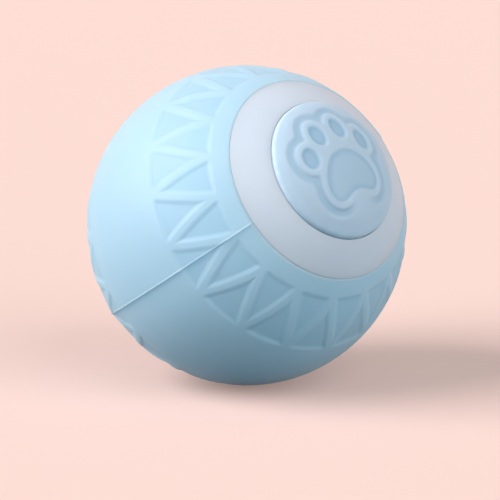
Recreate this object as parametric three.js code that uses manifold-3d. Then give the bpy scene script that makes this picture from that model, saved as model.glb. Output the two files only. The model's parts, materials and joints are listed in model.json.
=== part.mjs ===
// Self rolling cat ball: a silicone sleeve over two clear shells, which turn about a
// weighted core that holds the motor, gears, battery and circuit board.
// Millimetres. In the ball's own frame the axle is Z and the paw button is at +Z.
import * as THREE from "three";
import { mergeVertices } from "three/addons/utils/BufferGeometryUtils.js";
import Module from "manifold-3d";

const wasm = await Module();
wasm.setup();

// Ball, and how it lies when shown
const ballDiameter = 43;
const axleTilt = 29.2;
const sleeveTurn = 198.6;

// Clearances
const seatGap = 0.3;
const runGap = 0.3;
const solderGap = 0.15;

// Where shapes are joined or cut, the one runs this far into or past the other
const joinDepth = 0.2;
const overcut = 1;

// Silicone sleeve
const sleeveWall = 1.4;
const lipAngle = 40.2;
const lipRound = 0.45;
const bandStartAngle = 47.5;
const bandEndAngle = 69.5;
const bandDepth = 0.3;
const bandWallAngle = 0.9;
const zigzagTeeth = 18;
const zigzagTurn = 1.3;
const ribTopWidth = 0.5;
const ribFootWidth = 1.7;

// Clear shells
const shellWall = 1.2;
const lapLength = 1.8;
const lapTongue = 0.6;
const lapGap = 0.2;
const lapStep = 0.1;
const ringSeat = 1;
const ringSeatLip = 0.2;
const wellDepth = 2.1;
const wellFloor = 1.1;
const hubBore = 13.8;
const hubWall = 1;
const hubReach = 2.8;
const noseSetback = 1.5;

// Paw discs
const discDiameter = 18.9;
const discProud = 1.1;
const discEdgeRound = 0.8;
const pawLean = 8.9;
const padDepth = 0.4;
const valleyDepth = 0.25;
const valleyWidth = 1.1;
const pawRim = 0.95;
const toeWidth = 2.2;
const toeLength = 3;
const outerToeLean = 4;
const innerToe = new THREE.Vector2(1.88, 4.57);
const outerToe = new THREE.Vector2(4.65, 2.05);
const palmTop = 1.7;
const palmShoulder = new THREE.Vector2(2.6, 0.75);
const palmSide = new THREE.Vector2(4.15, -2);
const palmLobe = new THREE.Vector2(2.75, -4.65);
const palmNotch = -3.92;

// Button carrier and port plug
const buttonTravel = 0.5;
const carrierPlate = 0.9;
const stemRadius = 1.5;
const stemHoleGap = 0.4;
const hookCount = 3;
const hookRadius = 7.9;
const hookWall = 0.7;
const hookWidth = 2.6;
const hookBarb = 0.6;
const hookBarbHeight = 0.7;
const plugBossWall = 1.2;

// Gear train
const pressureAngle = 20;
const toothTip = 0.82;
const toothRoot = 1.22;
const backlash = 0.12;
const pinionLimit = 20;
const ringRim = 2.1;
const finalPinionTeeth = 12;
const ringModule = 0.5;
const ringHeight = 2.8;
const ringLevel = 3.4;
const secondWheelTeeth = 24;
const firstPinionTeeth = 10;
const firstWheelTeeth = 26;
const motorPinionTeeth = 9;
const trainModule = 0.4;
const wheelHeight = 1.4;
const stageGap = 0.4;
const gearPinRadius = 0.55;
const secondGearAngle = -28;
const trainSpan = 13.5;

// Core case
const caseWall = 1;
const caseRingGap = 0.9;
const casePlate = 1;
const noseWall = 0.7;
const noseEndWall = 0.8;
const framePlate = 1;
const frameLevel = -0.5;
const bossRadius = 1.7;
const bossInset = 2;
const bossAngles = [90, 12, 195];
const screwRadius = 0.8;
const screwHeadRadius = 1.5;
const screwHeadHeight = 1;
const screwHeadChamfer = 0.3;
const screwBite = 7;
const screwSlot = 0.5;
const screwSlotDepth = 0.5;

// Motor
const motorDiameter = 10;
const motorFlats = 8;
const motorCap = 0.7;
const motorBossRadius = 1.6;
const motorBossHeight = 0.8;
const motorShaftRadius = 0.5;
const motorShaftInside = 4.5;
const motorRib = 0.8;
const motorRibWidth = 4;
const motorRibReach = 5;
const shaftProud = 0.2;
const tabRoot = 1;
const tabReach = 0.9;
const tabWidth = 1.1;
const tabThickness = 0.3;
const tabLift = 0.2;
const tabSpread = 1.7;
const motorWireSpacing = 1.05;

// Electronics
const boardThickness = 0.8;
const boardMargin = 0.4;
const boardTongue = 5;
const usb = { width: 8.94, height: 3.26, length: 7.3, wall: 0.3, corner: 1.55, back: 1 };
const usbTongue = { width: 6.7, height: 0.7, sink: 0.8 };
const usbRecess = 0.3;
const tact = { width: 6, height: 3.5, length: 3, plunger: 0.9, reach: 0.7, stroke: 0.25, bore: 1.4 };
const battery = { width: 12, height: 5, corner: 1.2, lift: 0.9, wireSpread: 1.5, wireRoom: 2.6 };
const led = { radius: 1.5, flange: 1.8, flangeLength: 0.8, barrel: 2.2, gap: 0.4 };
const controllerChip = { width: 4, length: 4, height: 0.9, x: 0, z: -4 };
const chargeChip = { width: 3, length: 3, height: 0.9, x: 5.6, z: -4.4 };
const sensor = { radius: 1, length: 5, x: -7.8, z: -5.6 };
const wireRadius = 0.35;

// Ballast
const ballastGap = 0.6;
const ballastSpan = 100;
const ballastRear = -6.4;
const lugSize = 1.5;
const lugGapAngle = 1.5;

// Facets
const ballFacets = 28;
const discFacets = 22;
const caseFacets = 18;
const smallFacets = 12;
const pinFacets = 8;
const palmFacets = 16;
const toeFacets = 10;
const cornerFacets = 3;
const wireSides = 8;
const arcStep = 10.5;

// Radii and heights that follow from the sizes above
const ballRadius = ballDiameter / 2;
const sleeveInner = ballRadius - sleeveWall;
const shellOuter = sleeveInner - seatGap;
const shellInner = shellOuter - shellWall;
const discRadius = discDiameter / 2;
const wellRadius = discRadius + seatGap;
const wellTop = heightOn(ballRadius, wellRadius);
const floorTop = wellTop - wellDepth;
const floorUnder = floorTop - wellFloor;
const hubRadius = hubBore / 2;
const hubEnd = floorUnder - hubReach;
const hookOuter = hookRadius + hookWall;
const carrierRadius = Math.hypot(hookOuter, hookWidth / 2);
const capUnder = floorTop + seatGap + buttonTravel;
const noseRadius = hubRadius - runGap;
const noseEnd = floorTop - noseSetback;
const ringOuter = heightOn(shellInner, ringLevel + ringHeight) - seatGap;
const ringTeeth = 2 * Math.floor((ringOuter - ringRim) / ringModule);
const ringPitch = ringModule * ringTeeth / 2;
const ringTip = ringPitch - ringModule * toothTip;
const caseRadius = ringTip - caseRingGap;
const caseInner = caseRadius - caseWall;
const bossCircle = caseInner - bossInset;
const frameUnder = frameLevel - framePlate;
const firstLevel = frameLevel + seatGap;
const secondLevel = firstLevel + wheelHeight + stageGap;
const frontPlate = ringLevel + ringHeight + stageGap;
const frontFace = frontPlate + casePlate;
const rearPlate = runGap - heightOn(shellInner, caseRadius);
const boardUnder = usb.height / 2 + solderGap;
const boardTop = boardUnder + boardThickness;
const batteryUnder = boardTop + battery.lift;
const secondPlace = polar(ringModule * (ringTeeth - finalPinionTeeth) / 2, secondGearAngle);
const motorPlace = besideSecond(-usb.height / 2 - seatGap - motorFlats / 2);
const firstPlace = meshingCentre();
const ledX = -battery.width / 2 - led.gap - led.flange;
const boardLeft = ledX - led.flange - boardMargin;
const boardRight = bossPlaces()[1].x - bossRadius - boardMargin;

const colours = {
  silicone: 0xaed6ea,
  clear: 0xdfe2ee,
  white: 0xe9e9e6,
  grey: 0x6c7076,
  gear: 0xf2efe2,
  steel: 0xb4b7ba,
  dark: 0x2b2d30,
  board: 0x1f6b45,
  foil: 0x9aa3a8,
  red: 0xc0392b,
  led: 0xf3f6ff,
};

// Small helpers
function radians(degrees) {
  return degrees * Math.PI / 180;
}

function polar(radius, degrees) {
  return new THREE.Vector2(radius * Math.cos(radians(degrees)), radius * Math.sin(radians(degrees)));
}

function heightOn(radius, distance) {
  return Math.sqrt(radius ** 2 - distance ** 2);
}

function angleOn(radius, height) {
  return Math.acos(height / radius) * 180 / Math.PI;
}

// The motor stands at its own height, one train's span from the second gear
function besideSecond(y) {
  return new THREE.Vector2(secondPlace.x - heightOn(trainSpan, y - secondPlace.y), y);
}

// Where the first gear meshes with both the motor pinion and the second wheel
function meshingCentre() {
  const toMotor = trainModule * (motorPinionTeeth + firstWheelTeeth) / 2;
  const toSecond = trainModule * (firstPinionTeeth + secondWheelTeeth) / 2;
  const span = secondPlace.clone().sub(motorPlace);
  const distance = span.length();
  const along = (toMotor ** 2 - toSecond ** 2 + distance ** 2) / (2 * distance);
  const aside = Math.sqrt(toMotor ** 2 - along ** 2);
  const step = span.clone().normalize();
  const up = new THREE.Vector2(-step.y, step.x);
  return motorPlace.clone().addScaledVector(step, along).addScaledVector(up, aside);
}

function bearing(from, to) {
  return Math.atan2(to.y - from.y, to.x - from.x);
}

// Merged vertices, no collapsed faces, faces pointing out
function weld(geometry) {
  const bare = geometry.index ? geometry.toNonIndexed() : geometry.clone();
  bare.deleteAttribute("normal");
  bare.deleteAttribute("uv");
  const merged = mergeVertices(bare, 1e-5);
  const faces = merged.index.array;
  const kept = [];
  for (let i = 0; i < faces.length; i += 3) {
    const [a, b, c] = [faces[i], faces[i + 1], faces[i + 2]];
    if (a !== b && b !== c && c !== a) kept.push(a, b, c);
  }
  const point = (n) => new THREE.Vector3().fromBufferAttribute(merged.attributes.position, n);
  let volume = 0;
  for (let i = 0; i < kept.length; i += 3) {
    volume += point(kept[i]).dot(point(kept[i + 1]).cross(point(kept[i + 2])));
  }
  if (volume < 0) {
    for (let i = 0; i < kept.length; i += 3) [kept[i], kept[i + 1]] = [kept[i + 1], kept[i]];
  }
  merged.setIndex(kept);
  return merged;
}

function solid(geometry) {
  const welded = weld(geometry);
  return new wasm.Manifold(new wasm.Mesh({
    numProp: 3,
    vertProperties: new Float32Array(welded.attributes.position.array),
    triVerts: new Uint32Array(welded.index.array),
  }));
}

function toGeometry(body) {
  const mesh = body.getMesh();
  const geometry = new THREE.BufferGeometry();
  geometry.setAttribute("position", new THREE.BufferAttribute(new Float32Array(mesh.vertProperties), 3));
  geometry.setIndex(Array.from(mesh.triVerts));
  return geometry;
}

// Turns a profile of [radius, height] pairs about Z
function turned(profile, facets) {
  const points = profile.map(([radius, height]) => new THREE.Vector2(radius, height));
  return new THREE.LatheGeometry(points, facets).rotateX(Math.PI / 2);
}

// A closed ring profile, turned about Z
function ringTurned(profile, facets) {
  return turned([...profile, profile[0]], facets);
}

function evenAngles(fromAngle, toAngle) {
  const steps = Math.ceil(Math.abs(toAngle - fromAngle) / arcStep);
  return Array.from({ length: steps + 1 }, (_, i) => fromAngle + (toAngle - fromAngle) * i / steps);
}

// An arc about the origin, as [radius, height] pairs. Angles are taken from the axle.
function arcProfile(radius, fromAngle, toAngle) {
  return evenAngles(fromAngle, toAngle).map(radians)
    .map((angle) => [radius * Math.sin(angle), radius * Math.cos(angle)]);
}

function cylinder(radius, low, high, facets, place = new THREE.Vector2()) {
  const geometry = new THREE.CylinderGeometry(radius, radius, high - low, facets).rotateX(Math.PI / 2);
  return geometry.translate(place.x, place.y, (low + high) / 2);
}

function box(x0, x1, y0, y1, z0, z1) {
  return new THREE.BoxGeometry(x1 - x0, y1 - y0, z1 - z0)
    .translate((x0 + x1) / 2, (y0 + y1) / 2, (z0 + z1) / 2);
}

function prism(shape, low, high, curveSegments = cornerFacets) {
  const options = { depth: high - low, bevelEnabled: false, curveSegments };
  return new THREE.ExtrudeGeometry(shape, options).translate(0, 0, low);
}

function roundedRectangle(width, height, corner) {
  const shape = new THREE.Shape();
  const x = width / 2;
  const y = height / 2;
  shape.moveTo(-x + corner, -y);
  shape.lineTo(x - corner, -y);
  shape.absarc(x - corner, -y + corner, corner, -Math.PI / 2, 0);
  shape.lineTo(x, y - corner);
  shape.absarc(x - corner, y - corner, corner, 0, Math.PI / 2);
  shape.lineTo(-x + corner, y);
  shape.absarc(-x + corner, y - corner, corner, Math.PI / 2, Math.PI);
  shape.lineTo(-x, -y + corner);
  shape.absarc(-x + corner, -y + corner, corner, Math.PI, Math.PI * 1.5);
  return shape;
}

function tube(points, radius, steps = 5) {
  const section = new THREE.Shape().absarc(0, 0, radius, 0, Math.PI * 2);
  const path = new THREE.CatmullRomCurve3(points.map((p) => new THREE.Vector3(...p)));
  return new THREE.ExtrudeGeometry(section, { steps, curveSegments: wireSides / 2, extrudePath: path });
}

const parts = [];

function part(name, geometry, colour, roughness, metalness = 0) {
  const material = new THREE.MeshStandardMaterial({ color: colour, roughness, metalness });
  const mesh = new THREE.Mesh(weld(geometry), material);
  mesh.name = name;
  parts.push(mesh);
  return mesh;
}

// Silicone sleeve: one skin from lip to lip, with a sunk band of zigzag ribs near each lip.
// It is a grid of rings. Each half tooth is a sector crossed by one rib, and the ring's
// points in a sector follow the rib, so that its edges stay straight.
const sectorAngle = 180 / zigzagTeeth;

// Across a sector: its start, then the rib's foot, top, top and foot, measured from the rib's middle
const ribPoints = [-Infinity, -ribFootWidth / 2, -ribTopWidth / 2, ribTopWidth / 2, ribFootWidth / 2];

function ribHeight(distance) {
  const slope = (ribFootWidth / 2 - distance) / ((ribFootWidth - ribTopWidth) / 2);
  return bandDepth * THREE.MathUtils.clamp(slope, 0, 1);
}

function bandRing(angle, across, level) {
  const points = [];
  const millimetresPerDegree = ballRadius * Math.sin(radians(angle)) * Math.PI / 180;
  const bandLength = ballRadius * radians(bandEndAngle - bandStartAngle);
  const slant = Math.cos(Math.atan(sectorAngle * millimetresPerDegree / bandLength));
  for (let sector = 0; sector < 2 * zigzagTeeth; sector++) {
    const rising = sector % 2 === 0;
    const centre = sectorAngle * (rising ? across : 1 - across);
    for (const aside of ribPoints) {
      const x = THREE.MathUtils.clamp(centre + aside / slant / millimetresPerDegree, 0, sectorAngle);
      const rib = ribHeight(Math.abs(x - centre) * millimetresPerDegree * slant);
      const radius = level === "floor" ? ballRadius - bandDepth + rib : ballRadius;
      points.push(onSphere(radius, angle, sector * sectorAngle + x));
    }
  }
  return points;
}

// Where there are no ribs, a sector's points all lie at its start
function plainRing(radius, angle) {
  const width = 2 * zigzagTeeth * ribPoints.length;
  return Array.from({ length: width }, (_, i) => {
    const sector = Math.floor(i / ribPoints.length);
    return onSphere(radius, angle, sector * sectorAngle);
  });
}

function onSphere(radius, angle, longitude) {
  const flat = radius * Math.sin(radians(angle));
  const turn = radians(longitude + zigzagTurn);
  return [flat * Math.cos(turn), flat * Math.sin(turn), radius * Math.cos(radians(angle))];
}

function frontBand() {
  const rows = 2;
  const low = bandStartAngle + bandWallAngle;
  const high = bandEndAngle - bandWallAngle;
  const rings = [bandRing(bandStartAngle, 0, "sphere")];
  for (let i = 0; i <= rows; i++) rings.push(bandRing(low + (high - low) * i / rows, i / rows, "floor"));
  rings.push(bandRing(bandEndAngle, 1, "sphere"));
  return rings;
}

function mirrored(rings) {
  return rings.map((ring) => ring.map(([x, y, z]) => [x, y, -z])).reverse();
}

function sleeveGeometry() {
  const roundAngle = lipRound / ballRadius * 180 / Math.PI;
  const lip = [
    plainRing(ballRadius - lipRound, lipAngle),
    plainRing(ballRadius, lipAngle + roundAngle),
  ];
  const middle = evenAngles(bandEndAngle, 180 - bandEndAngle).slice(1, -1)
    .map((angle) => plainRing(ballRadius, angle));
  const inside = evenAngles(180 - lipAngle, lipAngle)
    .map((angle) => plainRing(sleeveInner, angle));
  const outside = [...lip, ...frontBand()];
  const rings = [...outside, ...middle, ...mirrored(outside), ...inside];
  const vertices = rings.flat(2);
  const width = rings[0].length;
  const faces = [];
  for (let row = 0; row < rings.length; row++) {
    for (let column = 0; column < width; column++) {
      const a = row * width + column;
      const b = row * width + (column + 1) % width;
      const next = (row + 1) % rings.length * width;
      faces.push(a, b, next + (column + 1) % width, a, next + (column + 1) % width, next + column);
    }
  }
  const geometry = new THREE.BufferGeometry();
  geometry.setAttribute("position", new THREE.Float32BufferAttribute(vertices, 3));
  geometry.setIndex(faces);
  return geometry;
}

// Clear shell: sphere wall under the sleeve, raised dome flush with it, disc well and hub.
// The front shell has the lap's tongue and the ring gear's seat, the rear one the lap's socket.
const domeEdgeAngle = lipAngle - seatGap / ballRadius * 180 / Math.PI;

function shellProfile(front) {
  const seat = seatGap / 2;
  const wellAngle = angleOn(ballRadius, wellTop);
  const underFloor = angleOn(shellInner, floorUnder);
  const profile = [
    [hubRadius, hubEnd],
    [hubRadius, floorTop],
    [wellRadius, floorTop],
    ...arcProfile(ballRadius, wellAngle, domeEdgeAngle),
    ...arcProfile(shellOuter, domeEdgeAngle, angleOn(shellOuter, seat)),
  ];
  if (front) {
    const inner = shellInner - lapStep;
    const outer = inner + lapTongue;
    const under = ringLevel + ringHeight + seatGap;
    const over = under + ringSeat;
    const rim = ringTip + ringSeatLip;
    profile.push([outer, seat], [outer, -lapLength], [inner, -lapLength], [inner, lapLength]);
    profile.push([heightOn(shellInner, under), under], [rim, under], [rim, over]);
    profile.push(...arcProfile(shellInner, angleOn(shellInner, over), underFloor));
  } else {
    const socket = shellInner - lapStep + lapTongue + lapGap;
    const socketEnd = lapLength + seatGap;
    profile.push([socket, seat], [socket, socketEnd]);
    profile.push(...arcProfile(shellInner, angleOn(shellInner, socketEnd), underFloor));
  }
  profile.push([hubRadius + hubWall, floorUnder], [hubRadius + hubWall, hubEnd]);
  return profile;
}

function hookTurns() {
  return Array.from({ length: hookCount }, (_, i) => i * 2 * Math.PI / hookCount);
}

function frontShell() {
  let body = solid(ringTurned(shellProfile(true), ballFacets));
  const inner = hookRadius - seatGap;
  const outer = hookOuter + seatGap;
  const half = hookWidth / 2 + seatGap;
  for (const turn of hookTurns()) {
    const slot = box(inner, outer, -half, half, hubEnd - overcut, floorTop + overcut);
    body = body.subtract(solid(slot.rotateZ(turn)));
  }
  return toGeometry(body);
}

function rearShell() {
  return ringTurned(shellProfile(false), ballFacets).rotateX(Math.PI);
}

// Paw disc: a cap that stands proud of the ball all over, with a sunk paw print in a shallow valley
const discDome = ballRadius + discProud;

function toeShape(centre, lean, grow) {
  const shape = new THREE.Shape();
  const [x, y] = [toeWidth / 2 + grow, toeLength / 2 + grow];
  shape.absellipse(centre.x, centre.y, x, y, 0, Math.PI * 2, false, radians(lean));
  return shape;
}

function palmShape(grow) {
  const centre = new THREE.Vector2(0, (palmTop + palmLobe.y) / 2);
  const half = [
    new THREE.Vector2(0, palmTop),
    palmShoulder,
    palmSide,
    new THREE.Vector2(palmSide.x, (palmSide.y + palmLobe.y) / 2),
    palmLobe,
    new THREE.Vector2(palmLobe.x / 2, (palmLobe.y + palmNotch) / 2),
    new THREE.Vector2(0, palmNotch),
  ];
  const others = half.slice(1, -1).map((p) => new THREE.Vector2(-p.x, p.y)).reverse();
  const outline = [...half, ...others].map((p) => {
    const away = p.clone().sub(centre);
    return p.clone().addScaledVector(away.normalize(), grow);
  });
  const curve = new THREE.CatmullRomCurve3(outline.map((p) => new THREE.Vector3(p.x, p.y, 0)), true);
  const ring = Array.from({ length: palmFacets }, (_, i) => curve.getPoint(i / palmFacets));
  return new THREE.Shape(ring.map((p) => new THREE.Vector2(p.x, p.y)));
}

function toeShapes(grow) {
  return [1, -1].flatMap((side) => [
    toeShape(new THREE.Vector2(side * innerToe.x, innerToe.y), 0, grow),
    toeShape(new THREE.Vector2(side * outerToe.x, outerToe.y), side * outerToeLean, grow),
  ]);
}

function pawPrint(grow, low, high) {
  let body = solid(prism(palmShape(grow), low, high));
  for (const toe of toeShapes(grow)) body = body.add(solid(prism(toe, low, high, toeFacets / 2)));
  return body;
}

function halfBall(radius) {
  return solid(turned([[0, 0], ...arcProfile(radius, 90, 0)], smallFacets));
}

function pawDisc(under) {
  const edge = discRadius - discEdgeRound;
  const edgeHeight = heightOn(discDome, edge) - discEdgeRound;
  const profile = [[0, under], [discRadius, under], [discRadius, edgeHeight]];
  for (const angle of [30, 60]) {
    const round = polar(discEdgeRound, angle);
    profile.push([edge + round.x, edgeHeight + round.y]);
  }
  profile.push(...arcProfile(discDome, Math.asin(edge / discDome) * 180 / Math.PI, 0));
  const high = discDome + overcut;
  const rim = pawPrint(pawRim, under - overcut, high + overcut);
  const valley = pawPrint(pawRim + valleyWidth, under, high).subtract(rim);
  const pads = pawPrint(0, under, high);
  return solid(turned(profile, discFacets))
    .subtract(valley.subtract(halfBall(discDome - valleyDepth)))
    .subtract(pads.subtract(halfBall(discDome - padDepth)));
}

function carrierPocket() {
  const radius = carrierRadius + solderGap;
  const pocket = cylinder(radius, capUnder - overcut, capUnder + carrierPlate, discFacets);
  return solid(pocket);
}

// The paw's toes point this way round the axle from the sleeve's parting line
const pawAngle = radians(180 - pawLean);

function pawButton() {
  return toGeometry(pawDisc(capUnder).subtract(carrierPocket())).rotateZ(pawAngle);
}

// Carrier under the paw button: plate, switch stem and snap hooks through the well's floor
const stemTip = noseEnd - noseEndWall;

function buttonCarrier() {
  const plateTop = capUnder + carrierPlate - solderGap;
  const barbTop = floorUnder - seatGap;
  const barbUnder = barbTop - hookBarbHeight;
  const half = hookWidth / 2;
  const plateMiddle = capUnder + carrierPlate / 2;
  let body = solid(cylinder(carrierRadius, capUnder, plateTop, discFacets));
  body = body.add(solid(cylinder(stemRadius, stemTip, plateMiddle, smallFacets)));
  for (const turn of hookTurns()) {
    const leg = box(hookRadius, hookOuter, -half, half, barbUnder, plateMiddle);
    const barb = box(hookRadius, hookOuter + hookBarb, -half, half, barbUnder, barbTop);
    body = body.add(solid(leg.rotateZ(turn))).add(solid(barb.rotateZ(turn)));
  }
  return toGeometry(body);
}

// Port plug: the rear paw disc with a boss that seals the hub over the charging socket
function portPlug() {
  const under = floorTop + seatGap;
  const bossOuter = hubRadius - seatGap;
  const bossEnd = noseEnd + 2 * seatGap;
  const boss = [
    [bossOuter - plugBossWall, bossEnd],
    [bossOuter, bossEnd],
    [bossOuter, under + carrierPlate],
    [bossOuter - plugBossWall, under + carrierPlate],
  ];
  const body = pawDisc(under).add(solid(ringTurned(boss, discFacets)));
  return toGeometry(body).rotateZ(pawAngle).rotateX(Math.PI);
}

// Gears. A tooth's flank is an involute, and backlash is taken off its thickness.
function toothHalfAngle(teeth, module, radius, thinning) {
  const pitch = module * teeth / 2;
  const base = pitch * Math.cos(radians(pressureAngle));
  const involute = (angle) => Math.tan(angle) - angle;
  const reached = Math.acos(base / Math.max(radius, base));
  const half = Math.PI / (2 * teeth) - thinning / (2 * pitch);
  return half + involute(radians(pressureAngle)) - involute(reached);
}

function gearOutline(teeth, module, inward, outward, thinning, turn) {
  const pitch = module * teeth / 2;
  const root = pitch - inward * module;
  const tip = pitch + outward * module;
  const radii = teeth < pinionLimit ? [root, pitch, tip] : [root, tip];
  const points = [];
  for (let tooth = 0; tooth < teeth; tooth++) {
    const centre = turn + tooth * 2 * Math.PI / teeth;
    const half = radii.map((radius) => toothHalfAngle(teeth, module, radius, thinning));
    radii.forEach((radius, i) => {
      points.push(new THREE.Vector2(radius, 0).rotateAround(new THREE.Vector2(), centre - half[i]));
    });
    for (let i = radii.length - 1; i >= 0; i--) {
      points.push(new THREE.Vector2(radii[i], 0).rotateAround(new THREE.Vector2(), centre + half[i]));
    }
  }
  return points;
}

function gear(teeth, module, turn, low, high) {
  const outline = gearOutline(teeth, module, toothRoot, toothTip, backlash, turn);
  return solid(prism(new THREE.Shape(outline), low, high));
}

function bored(body, radius, low, high) {
  return body.subtract(solid(cylinder(radius, low - overcut, high + overcut, pinFacets)));
}

function placed(body, place) {
  return toGeometry(body).translate(place.x, place.y, 0);
}

function motorPinion() {
  const turn = bearing(motorPlace, firstPlace);
  const body = gear(motorPinionTeeth, trainModule, turn, firstLevel, firstLevel + wheelHeight);
  const bore = motorShaftRadius + solderGap;
  return placed(bored(body, bore, firstLevel, firstLevel + wheelHeight), motorPlace);
}

function firstGear() {
  const wheelTurn = bearing(firstPlace, motorPlace) + Math.PI / firstWheelTeeth;
  const pinionTurn = bearing(firstPlace, secondPlace);
  const top = secondLevel + wheelHeight;
  const wheel = gear(firstWheelTeeth, trainModule, wheelTurn, firstLevel, firstLevel + wheelHeight);
  const pinion = gear(firstPinionTeeth, trainModule, pinionTurn, firstLevel + joinDepth, top);
  return placed(bored(wheel.add(pinion), gearPinRadius + runGap, firstLevel, top), firstPlace);
}

function secondGear() {
  const wheelTurn = bearing(secondPlace, firstPlace) + Math.PI / secondWheelTeeth;
  const pinionTurn = radians(secondGearAngle);
  const top = ringLevel + ringHeight;
  const wheel = gear(secondWheelTeeth, trainModule, wheelTurn, secondLevel, secondLevel + wheelHeight);
  const pinion = gear(finalPinionTeeth, ringModule, pinionTurn, secondLevel + joinDepth, top);
  return placed(bored(wheel.add(pinion), gearPinRadius + runGap, secondLevel, top), secondPlace);
}

function ringGear() {
  const shape = new THREE.Shape().absarc(0, 0, ringOuter, 0, Math.PI * 2);
  const turn = radians(secondGearAngle);
  const outline = gearOutline(ringTeeth, ringModule, toothTip, toothRoot, -backlash, turn);
  shape.holes.push(new THREE.Path(outline));
  return prism(shape, ringLevel, ringLevel + ringHeight, ballFacets / 2);
}

// Core case, front half: drum over the gears, plate that holds the gear pins, nose in the hub
function bossPlaces() {
  return bossAngles.map((angle) => polar(bossCircle, angle));
}

function screwHole(place, low, high) {
  return solid(cylinder(screwRadius + seatGap, low, high, pinFacets, place));
}

function ledPlace() {
  return new THREE.Vector2(ledX, boardTop + solderGap + led.flange);
}

function ledWindow(low, high) {
  return solid(cylinder(led.radius + seatGap, low - overcut, high + overcut, smallFacets, ledPlace()));
}

function frontCase() {
  const rim = frameLevel + seatGap;
  const profile = [
    [caseInner, rim],
    [caseRadius, rim],
    [caseRadius, frontFace],
    [noseRadius, frontFace],
    [noseRadius, noseEnd],
    [stemRadius + stemHoleGap, noseEnd],
    [stemRadius + stemHoleGap, noseEnd - noseEndWall],
    [noseRadius - noseWall, noseEnd - noseEndWall],
    [noseRadius - noseWall, frontPlate],
    [caseInner, frontPlate],
  ];
  let body = solid(ringTurned(profile, caseFacets));
  for (const place of bossPlaces()) {
    body = body.add(solid(cylinder(bossRadius, rim, frontPlate + joinDepth, smallFacets, place)));
    body = body.subtract(screwHole(place, rim - overcut, frontFace + overcut));
  }
  const gearReach = trainModule * (secondWheelTeeth / 2 + 1) + seatGap;
  const slotTop = ringLevel + ringHeight + stageGap / 2;
  const slot = cylinder(gearReach, firstLevel + wheelHeight, slotTop, smallFacets, secondPlace);
  body = body.subtract(solid(slot));
  for (const place of [firstPlace, secondPlace]) {
    const radius = gearPinRadius + seatGap;
    body = body.subtract(solid(cylinder(radius, frontPlate - overcut, frontFace - seatGap, pinFacets, place)));
  }
  return toGeometry(body.subtract(ledWindow(frontPlate, frontFace)));
}

// Core case, rear half: battery and motor bay, nose round the charging socket, ballast lugs
function rearCase() {
  const rim = frameLevel;
  const nose = noseEnd;
  const profile = [
    [0, -nose + noseEndWall],
    [0, -nose],
    [noseRadius, -nose],
    [noseRadius, rearPlate],
    [caseRadius, rearPlate],
    [caseRadius, rim],
    [caseInner, rim],
    [caseInner, rearPlate + casePlate],
    [noseRadius - noseWall, rearPlate + casePlate],
    [noseRadius - noseWall, -nose + noseEndWall],
    [0, -nose + noseEndWall],
  ];
  let body = solid(turned(profile, caseFacets));
  const bossTop = frameUnder - seatGap;
  for (const place of bossPlaces()) {
    const bossRoot = rearPlate + casePlate - joinDepth;
    body = body.add(solid(cylinder(bossRadius, bossRoot, bossTop, smallFacets, place)));
    body = body.subtract(screwHole(place, frameUnder - screwBite - seatGap, bossTop + overcut));
  }
  const port = roundedRectangle(usb.width + 2 * seatGap, usb.height + 2 * seatGap, usb.corner + seatGap);
  body = body.subtract(solid(prism(port, -nose - overcut, -nose + noseEndWall + overcut)));
  for (const side of [1, -1]) {
    const inner = caseRadius - caseWall / 2;
    const lug = box(inner, caseRadius + seatGap + lugSize, 0, lugSize, ballastRear, frameLevel);
    const turn = radians(-90 + side * (ballastSpan / 2 + lugGapAngle));
    if (side < 0) lug.translate(0, -lugSize, 0);
    body = body.add(solid(lug.rotateZ(turn)));
  }
  return toGeometry(body.subtract(ledWindow(rearPlate, rearPlate + casePlate)));
}

// Gear frame: plate across the drum that carries the motor's nose and the gear pins
function gearFrame() {
  const plate = cylinder(caseInner - seatGap, frameUnder, frameLevel, caseFacets);
  const low = frameUnder - overcut;
  const high = frameLevel + overcut;
  let body = solid(plate);
  const half = battery.width / 2 + seatGap;
  const under = boardUnder - seatGap;
  body = body.subtract(solid(box(-half, half, under, batteryUnder + battery.height + seatGap, low, high)));
  const [left, right] = [boardLeft - seatGap, boardRight + seatGap];
  body = body.subtract(solid(box(left, right, under, boardTop + seatGap, low, high)));
  for (const place of bossPlaces()) body = body.subtract(screwHole(place, low, high));
  body = body.subtract(solid(cylinder(motorBossRadius + seatGap, low, high, smallFacets, motorPlace)));
  for (const place of [firstPlace, secondPlace]) {
    body = body.subtract(solid(cylinder(gearPinRadius + seatGap, low, high, pinFacets, place)));
  }
  const ribTop = motorPlace.y - motorFlats / 2 - seatGap;
  const ribLeft = motorPlace.x - motorRibWidth / 2;
  const ribRear = frameUnder - motorRibReach;
  const ribFront = frameUnder + joinDepth;
  const rib = box(ribLeft, ribLeft + motorRibWidth, ribTop - motorRib, ribTop, ribRear, ribFront);
  return toGeometry(body.add(solid(rib)));
}

function caseScrew(place) {
  const seat = frontFace + seatGap;
  const top = seat + screwHeadHeight;
  const end = frameUnder - screwBite;
  const profile = [
    [0, end],
    [screwRadius, end + screwRadius],
    [screwRadius, seat],
    [screwHeadRadius, seat],
    [screwHeadRadius, top - screwHeadChamfer],
    [screwHeadRadius - screwHeadChamfer, top],
    [0, top],
  ];
  const half = screwHeadRadius + overcut;
  const slot = box(-half, half, -screwSlot / 2, screwSlot / 2, top - screwSlotDepth, top + overcut);
  return placed(solid(turned(profile, pinFacets)).subtract(solid(slot)), place);
}

function gearPin(place, low) {
  return cylinder(gearPinRadius, low, frontFace - 2 * seatGap, pinFacets, place);
}

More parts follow.
